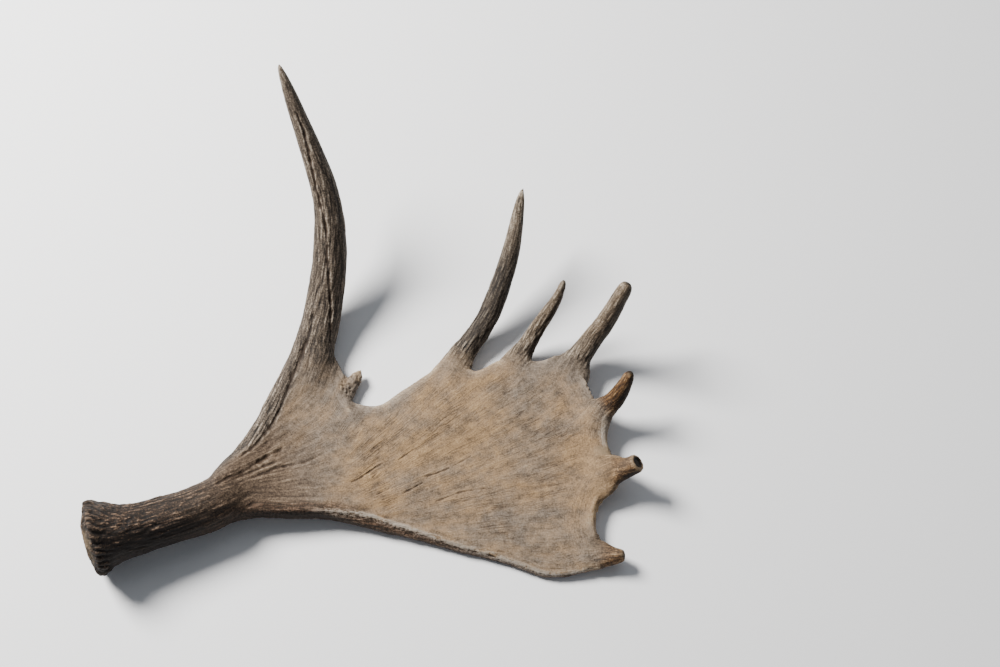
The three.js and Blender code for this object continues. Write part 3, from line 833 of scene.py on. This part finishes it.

# painted shade: tine sides that face −y, or right and down, away from the key light, are darker
shadedLowSide = smooth(-normals[:, 1], 0.1, 0.8)
shadedRightSide = smooth(normals @ np.array([0.8, -0.6, 0.0]), 0.1, 0.75)
orange = np.max([(share + more * shadedLowSide) * limbMark(name, low, high)
                 for name, low, high, share, more in stainAndShadePlaces["orange"]], axis=0)
sides = {"all": 1.0, "right": shadedRightSide, "low": smooth(-normals[:, 1], 0.55, 0.95),
         "lowerHalf": 1 - smooth(fields["tine2"]["place"], 0.6, 0.85)}
dark = np.max([share * sides[side] * limbMark(name, low, high)
               for name, low, high, share, side in stainAndShadePlaces["dark"]], axis=0)
dark = np.maximum(dark, 0.85 * brokenFace * smooth(brokenReach, 8.4, 5.8))
spotX, spotY, spotSize = stainAndShadePlaces["paleSpot"]
sealSide = smooth(points[:, 1] + 5 * softNoise(points / 9.0), -222, -236)
seal = (0.05 + 0.85 * sealSide) * smooth(beamRun, *zones["seal"]) * onBeam
spot = onTop * smooth(np.hypot(points[:, 0] - spotX, points[:, 1] - spotY), spotSize, 1)
pale = np.max([seal, spot, 0.8 * brokenFace * smooth(brokenReach, 7.0, 8.8)], axis=0)
# painted shade: the lower rim's side below its crest is painted dark, less where it faces straight down
darkFrom = along(stainAndShadePlaces["rimShadeFrom"], fan["place"]) + 1.5 * softNoise(points / 9.0)
rimShade = nearLow * smooth(belowCrest, darkFrom, darkFrom + 5) * along(stainAndShadePlaces["rimShade"], fan["place"])
rimShade *= 1 - 0.6 * smooth(-normals[:, 2], 0.4, 0.9)
# painted shade: the beam's side facing −y, away from the key light, is painted near-black, and the burr is
# darkened all round; the lower rim's painted shade joins them
shaded = smooth(-normals[:, 1] - 0.2 * normals[:, 2] + 0.12 * softNoise(points / 8.0), 0.08, 0.42)
under = np.maximum(beamShare * np.maximum(shaded, 0.65 * burr), rimShade)
inner = smooth(fromLow + 3 * softNoise(points / 14.0), sideWidth + 15, sideWidth + 4)
inner *= smooth(fan["place"], 0.02, 0.1)
# painted shade: the lower rim's side below its crest takes the dark rim ramp, and a darker strip on top just
# inside the rim near the root joins it
rimBand = np.maximum(nearLow * smooth(belowCrest, 0.5, 3.0),
                     0.85 * palmShare * onTop * inner * (1 - smooth(fan["place"], 0.3, 0.5)))
creaseZone = palmShare * farShare * (1 - rimShare) * smooth(softNoise(points / 26.0 + 9.0), 0.0, 0.35)
worn = 0.06 + 0.94 * wornStretch()
rimCrest = palmShare * np.exp(-((fromLow - sideWidth + 0.5) / 3.4) ** 2) * smooth(fan["place"], 0.2, 0.3)
tinedCrest = worn * smooth(fan["place"], *zones["tinedCrest"]) * np.exp(-((rim["inward"] - 5) / 3.4) ** 2)
rimCrest = np.maximum(rimCrest, (1.2 - tineShare) * tinedCrest)
warmth = 0.5 + sum(amount * np.exp(-((points[:, 0] - x) ** 2 + (points[:, 1] - y) ** 2) / reach ** 2)
                   for x, y, reach, amount in stainAndShadePlaces["hues"])
byEdge = smooth(rim["inward"] + 4 * softNoise(points / 16.0), *zones["greyEdge"])
warmth -= 0.3 * byEdge * smooth(fan["across"], 0.5, 0.8)     # the palm's upper edge is greyer
crack = np.maximum(smooth(veinDepth, 0.15, 0.75), 0.8 * smooth(longDepth, 0.35, 1.5))

# vectors that the finish reads at each point
browPart = np.clip(browShare + ridgeShare + 0.25 * snagShare, 0, 1)
spare = np.zeros(len(points))
marks = {
    "fanFlow": fanFlow, "nearFlow": nearFlow, "rimFlow": rimFlow, "beamFlow": fields["beam"]["flow"],
    "browFlow": browFlow, "tineFlow": tineFlow,
    "parts": (beamShare, browPart, tineGrain), "stainsAndSideShade": (orange, dark, pale),
    "crestAndShade": (wearAndHollowShade, under, spare), "zones": (farShare, rimShare * palmShare, warmth),
    "rims": (onTop * rimCrest, rimBand, crack), "roots": (rootZone, creaseZone, besideBeam),
}
for name, values in marks.items():
    values = np.stack(values, axis=-1) if isinstance(values, tuple) else values
    layer = mesh.attributes.new(name, "FLOAT_VECTOR", "POINT")
    layer.data.foreach_set("vector", np.ascontiguousarray(values, np.float32).ravel())


def thinned(piece, triangles):
    # edges are closed up where the surface is flattest, until the triangles are few enough
    mesh = piece.data
    count = sum(len(face.vertices) - 2 for face in mesh.polygons)
    modifier = piece.modifiers.new("thin", "DECIMATE")
    modifier.ratio = min(1.0, triangles / count)
    worked = piece.evaluated_get(bpy.context.evaluated_depsgraph_get())
    mesh = bpy.data.meshes.new_from_object(worked)
    piece.modifiers.clear()
    piece.data = mesh
    return mesh


mesh = thinned(antler, skin["triangles"])
mesh.shade_smooth()
putPoints(mesh, pointsOf(mesh) / 1000)
report(f"relief, {sum(len(face.vertices) - 2 for face in mesh.polygons)} triangles")


# finishes

bone = {
    # shade stops from the deepest furrow, darkest with painted shade, to the most worn crest
    "palmGrey": [(0.0, (0.036, 0.026, 0.0185)), (0.3, (0.092, 0.070, 0.050)), (0.55, (0.156, 0.123, 0.095)),
                 (0.8, (0.210, 0.169, 0.132)), (1.0, (0.30, 0.25, 0.195))],
    "palmGold": [(0.0, (0.048, 0.029, 0.0165)), (0.3, (0.130, 0.083, 0.043)), (0.55, (0.218, 0.138, 0.070)),
                 (0.8, (0.285, 0.186, 0.096)), (1.0, (0.370, 0.280, 0.170))],
    "beam": [(0.0, (0.0015, 0.001, 0.0008)), (0.4, (0.013, 0.008, 0.0052)), (0.7, (0.045, 0.027, 0.0165)),
             (1.0, (0.185, 0.122, 0.080))],
    "root": [(0.0, (0.009, 0.0055, 0.0033)), (0.35, (0.045, 0.029, 0.018)), (0.65, (0.115, 0.080, 0.053)),
             (1.0, (0.27, 0.205, 0.145))],
    "brow": [(0.0, (0.006, 0.0045, 0.0033)), (0.34, (0.036, 0.027, 0.0195)), (0.64, (0.112, 0.086, 0.063)),
             (1.0, (0.31, 0.262, 0.208))],
    "tine": [(0.0, (0.007, 0.005, 0.0035)), (0.34, (0.044, 0.033, 0.023)), (0.64, (0.122, 0.092, 0.064)),
             (1.0, (0.33, 0.28, 0.22))],
    "orange": [(0.0, (0.007, 0.0036, 0.002)), (0.45, (0.040, 0.0192, 0.0078)), (0.75, (0.118, 0.060, 0.021)),
               (1.0, (0.25, 0.165, 0.088))],
    "rimBand": [(0.0, (0.004, 0.0028, 0.002)), (0.45, (0.0256, 0.0144, 0.008)), (0.75, (0.088, 0.046, 0.027)),
                (1.0, (0.19, 0.13, 0.092))],
    "dark": (0.008, 0.006, 0.0048), "pale": (0.200, 0.148, 0.092), "under": (0.0072, 0.0048, 0.0036),
    "rim": (0.275, 0.238, 0.196), "crack": (0.036, 0.0208, 0.0112), "crease": (0.036, 0.0208, 0.0112),
    "fibreWidth": 0.8, "fibreLength": 12.0, "roughness": 0.66, "shine": 0.2,
    # scale, detail and roughness of each plain noise
    "noises": {"broad": (22.0, 4.0, 0.6), "mottle": (95.0, 5.0, 0.7), "speckle": (560.0, 3.0, 0.7)},
    "huePulls": {"patches": 1.7, "broad": 2.2, "mottle": 0.9},
    "tonePulls": {"patches": 0.15, "broad": 0.25},
    "cover": {"under": 0.85, "dark": 0.92, "pale": 0.9, "crack": 0.62, "crease": 0.5, "rimBand": 0.9},
    "creaseSlope": -26.0, "creaseDepth": -0.35,
    "fibreBump": {"Strength": 0.9, "Distance": 0.0011}, "speckleBump": {"Strength": 0.7, "Distance": 0.0006},
    "darkening": {"root": -0.07, "brow": -0.16},      # of the shades beside the beam
    # how much the fibre, the crests (paler on crests as wear, darker in hollows as painted shade), the
    # mottling and the speckle each pull a shade, and the shade without them
    "pulls": {"palm": (0.6, 0.28, 1.0, 1.2, 0.50), "beam": (2.6, 0.42, 0.6, 1.7, 0.37),
              "brow": (1.5, 0.36, 0.4, 1.3, 0.37), "tine": (2.2, 0.50, 0.6, 1.4, 0.37),
              "rim": (2.1, 0.34, 0.6, 1.3, 0.48), "root": (1.1, 0.28, 0.6, 1.1, 0.50)},
}


def wire(tree, node, socket, value):
    # an input is either another node's output or a plain value
    target = node.inputs[socket]
    if isinstance(value, bpy.types.NodeSocket):
        tree.links.new(value, target)
    else:
        target.default_value = value


def addNode(tree, kind, inputs=(), **settings):
    node = tree.nodes.new(kind)
    for key, value in settings.items():
        setattr(node, key, value)
    for socket, value in dict(inputs).items():
        wire(tree, node, socket, value)
    return node


def maths(tree, operation, first, second=0.0, third=0.0, clamp=False):
    node = addNode(tree, "ShaderNodeMath", {0: first, 1: second, 2: third}, operation=operation,
                   use_clamp=clamp)
    return node.outputs[0]


def mixed(tree, share, first, second):
    # first * (1 - share) + second * share, for colours
    node = addNode(tree, "ShaderNodeMix", {0: share}, data_type="RGBA")
    for socket, colour in ((6, first), (7, second)):
        wire(tree, node, socket, (*colour, 1) if isinstance(colour, tuple) else colour)
    return node.outputs[2]


def ramp(tree, value, stops):
    node = addNode(tree, "ShaderNodeValToRGB", {0: value})
    elements = node.color_ramp.elements
    while len(elements) < len(stops):
        elements.new(0.5)
    for element, (at, colour) in zip(elements, stops):
        element.position = at
        element.color = (*colour, 1)
    return node.outputs[0]


def fibreGroup():
    # fine lengthwise fibres over a surface's own straightened place in millimetres: a layered noise of
    # (sideways / Width, over / Width, along / Length)
    tree = bpy.data.node_groups.new("antlerFibre", "ShaderNodeTree")
    tree.interface.new_socket("Flow", in_out="INPUT", socket_type="NodeSocketVector")
    for name, value in (("Width", 1.0), ("Length", 15.0)):
        tree.interface.new_socket(name, in_out="INPUT", socket_type="NodeSocketFloat").default_value = value
    tree.interface.new_socket("Fibre", in_out="OUTPUT", socket_type="NodeSocketFloat")
    source = addNode(tree, "NodeGroupInput")
    across = maths(tree, "DIVIDE", 1.0, source.outputs["Width"])
    onward = maths(tree, "DIVIDE", 1.0, source.outputs["Length"])
    scale = addNode(tree, "ShaderNodeCombineXYZ", {0: across, 1: across, 2: onward}).outputs[0]
    spot = addNode(tree, "ShaderNodeVectorMath", {0: source.outputs["Flow"], 1: scale}, operation="MULTIPLY")
    noise = addNode(tree, "ShaderNodeTexNoise", {"Vector": spot.outputs[0], "Scale": 0.45, "Detail": 3.0,
                                                 "Roughness": 0.65, "Distortion": 0.25})
    addNode(tree, "NodeGroupOutput", {"Fibre": noise.outputs[0]})
    return tree


def antlerMaterial(values):
    material = bpy.data.materials.new("antlerBone")
    material.use_nodes = True
    tree = material.node_tree
    tree.nodes.clear()
    group = fibreGroup()
    spot = addNode(tree, "ShaderNodeTexCoord").outputs["Object"]

    def attribute(name):
        return addNode(tree, "ShaderNodeAttribute", attribute_name=name).outputs["Vector"]

    def split(name):
        return addNode(tree, "ShaderNodeSeparateXYZ", {0: attribute(name)}).outputs

    def fibre(name, width, length):
        return addNode(tree, "ShaderNodeGroup", {"Flow": attribute(name), "Width": width, "Length": length},
                       node_tree=group).outputs[0]

    def noise(name):
        scale, detail, roughness = values["noises"][name]
        return addNode(tree, "ShaderNodeTexNoise", {"Vector": spot, "Scale": scale, "Detail": detail,
                                                    "Roughness": roughness}).outputs[0]

    def blended(share, first, second):
        return addNode(tree, "ShaderNodeMix", {0: share, 2: first, 3: second}).outputs[0]

    def pulled(value, source, pull):
        # value + (source - 0.5) * pull
        return maths(tree, "MULTIPLY_ADD", maths(tree, "SUBTRACT", source, 0.5), pull, value)

    def clamped(value):
        return maths(tree, "ADD", value, 0.0, clamp=True)

    beamPart, browPart, tinePart = split("parts")
    orangeMark, darkStainAndShadeMark, paleMark = split("stainsAndSideShade")
    wearAndHollowShadeMark, underShadeMark, _ = split("crestAndShade")
    farMark, rimMark, warmMark = split("zones")
    crestLine, shadedBandMark, crackMark = split("rims")
    rootMark, creaseMark, nearMark = split("roots")
    width, length = values["fibreWidth"], values["fibreLength"]
    fanned = blended(farMark, fibre("nearFlow", width, length), fibre("fanFlow", 0.42 * width, length))
    patches = blended(farMark, fibre("nearFlow", 8.0, 30.0), fibre("fanFlow", 3.6, 34.0))
    fibres = {"palm": blended(rimMark, fanned, fibre("rimFlow", width, length)),
              "beam": fibre("beamFlow", width, length), "brow": fibre("browFlow", width, length),
              "tine": fibre("tineFlow", width, length), "rim": fibre("rimFlow", 0.8 * width, length),
              "root": blended(nearMark, fibre("nearFlow", 2.2 * width, 4.0 * length),
                              fibre("beamFlow", 1.5 * width, 1.5 * length))}
    broad, mottle, speckle = noise("broad"), noise("mottle"), noise("speckle")

    def toneOf(name):
        # a shade from 0 to 1: the lift, plus the pulls of the fibre, the crest (paler on crests as wear,
        # darker in hollows as painted shade), the mottling and the speckle
        fibrePull, wearAndShadePull, mottlePull, specklePull, lift = values["pulls"][name]
        value = pulled(lift, fibres[name], fibrePull)
        value = maths(tree, "MULTIPLY_ADD", wearAndHollowShadeMark, wearAndShadePull, value)
        return clamped(pulled(pulled(value, mottle, mottlePull), speckle, specklePull))

    # fine creases: thin lines where a long noise passes through its middle value
    crease = maths(tree, "ABSOLUTE", maths(tree, "SUBTRACT", fibre("fanFlow", 2.2, 44.0), 0.5))
    crease = maths(tree, "MULTIPLY_ADD", crease, values["creaseSlope"], 1.0, clamp=True)
    crease = maths(tree, "MULTIPLY", crease, creaseMark)
    # the palm's hue and shade: warm and grey patches, drawn out along the fibres
    huePulls, tonePulls = values["huePulls"], values["tonePulls"]
    hue = pulled(pulled(warmMark, patches, huePulls["patches"]), broad, huePulls["broad"])
    hue = clamped(pulled(hue, mottle, huePulls["mottle"]))
    tone = pulled(pulled(toneOf("palm"), patches, tonePulls["patches"]), broad, tonePulls["broad"])
    tone = clamped(tone)
    colour = mixed(tree, hue, ramp(tree, tone, values["palmGrey"]), ramp(tree, tone, values["palmGold"]))
    tones = {name: toneOf(name) for name in ("root", "beam", "brow", "tine", "rim")}
    for name, change in values["darkening"].items():
        tones[name] = maths(tree, "MULTIPLY_ADD", nearMark, change, tones[name], clamp=True)
    limbParts = (("root", rootMark), ("beam", beamPart), ("brow", browPart), ("tine", tinePart))
    for name, part in limbParts:
        colour = mixed(tree, part, colour, ramp(tree, tones[name], values[name]))
    colour = mixed(tree, orangeMark, colour, ramp(tree, tones["tine"], values["orange"]))
    cover = values["cover"]
    # painted shade: the lower rim's side below its crest takes the dark rim ramp
    banded = maths(tree, "MULTIPLY", shadedBandMark, cover["rimBand"])
    colour = mixed(tree, banded, colour, ramp(tree, tones["rim"], values["rimBand"]))
    # the crests of the rims are worn pale where their shade is light
    rimWear = maths(tree, "MULTIPLY_ADD", tones["rim"], 2.8, -1.15, clamp=True)
    colour = mixed(tree, maths(tree, "MULTIPLY", crestLine, rimWear), colour, values["rim"])
    # painted shade is laid on here too: the under mark, and the dark mark on the tines' right and low sides
    for mark, name in ((underShadeMark, "under"), (darkStainAndShadeMark, "dark"), (paleMark, "pale"), (crackMark, "crack"),
                       (crease, "crease")):
        colour = mixed(tree, maths(tree, "MULTIPLY", mark, cover[name]), colour, values[name])

    fibreHeight = fibres["palm"]
    for name, part in (*limbParts, ("rim", shadedBandMark)):
        fibreHeight = blended(part, fibreHeight, fibres[name])
    fibreHeight = maths(tree, "MULTIPLY_ADD", crease, values["creaseDepth"], fibreHeight)
    bump = addNode(tree, "ShaderNodeBump", {**values["fibreBump"], "Height": fibreHeight})
    bump = addNode(tree, "ShaderNodeBump", {**values["speckleBump"], "Height": speckle,
                                            "Normal": bump.outputs[0]}).outputs[0]
    rough = maths(tree, "MULTIPLY_ADD", fibreHeight, 0.25, values["roughness"] - 0.1, clamp=True)
    surface = addNode(tree, "ShaderNodeBsdfPrincipled", {
        "Base Color": colour, "Roughness": rough, "Normal": bump, "Specular IOR Level": values["shine"]})
    addNode(tree, "ShaderNodeOutputMaterial", {"Surface": surface.outputs[0]})
    return material


mesh.materials.clear()
mesh.materials.append(antlerMaterial(bone))
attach(antler, "root")
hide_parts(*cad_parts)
report("finish")

# floor and lights

studio = {
    "floor": (0.84, 0.85, 0.865), "floorSide": 9.0, "floorRoughness": 0.9,
    "key": {"from": (-0.62, 0.38, 0.69), "distance": 2.3, "size": 0.95, "power": 190.0,
            "colour": (1.0, 0.975, 0.94)},
    "fill": {"from": (0.2, 0.5, 0.85), "distance": 3.0, "size": 2.5, "power": 11.0,
             "colour": (0.93, 0.96, 1.0)},
    "aim": (0.05, 0.0, 0.05), "sky": (0.58, 0.61, 0.66), "skyStrength": 0.3,
}


def addLight(name, values, aim):
    data = bpy.data.lights.new(name, "AREA")
    data.shape = "DISK"
    data.size, data.energy, data.color = values["size"], values["power"], values["colour"]
    lamp = bpy.data.objects.new(name, data)
    away = Vector(values["from"]).normalized()
    lamp.location = Vector(aim) + away * values["distance"]
    lamp.rotation_euler = away.to_track_quat("Z", "Y").to_euler()
    bpy.context.scene.collection.objects.link(lamp)


def addFloor(values):
    half = values["floorSide"] / 2
    corners = np.array([[-half, -half, 0], [half, -half, 0], [half, half, 0], [-half, half, 0]], float)
    floor = meshFrom("floor", corners, [[0, 1, 2, 3]])
    material = bpy.data.materials.new("paleFloor")
    material.use_nodes = True
    surface = material.node_tree.nodes["Principled BSDF"]
    surface.inputs["Base Color"].default_value = (*values["floor"], 1)
    surface.inputs["Roughness"].default_value = values["floorRoughness"]
    floor.data.materials.append(material)


addFloor(studio)
addLight("keyLight", studio["key"], studio["aim"])
addLight("fillLight", studio["fill"], studio["aim"])
world = bpy.data.worlds.new("studioSky")
world.use_nodes = True
world.node_tree.nodes["Background"].inputs[0].default_value = (*studio["sky"], 1)
world.node_tree.nodes["Background"].inputs[1].default_value = studio["skyStrength"]
bpy.context.scene.world = world
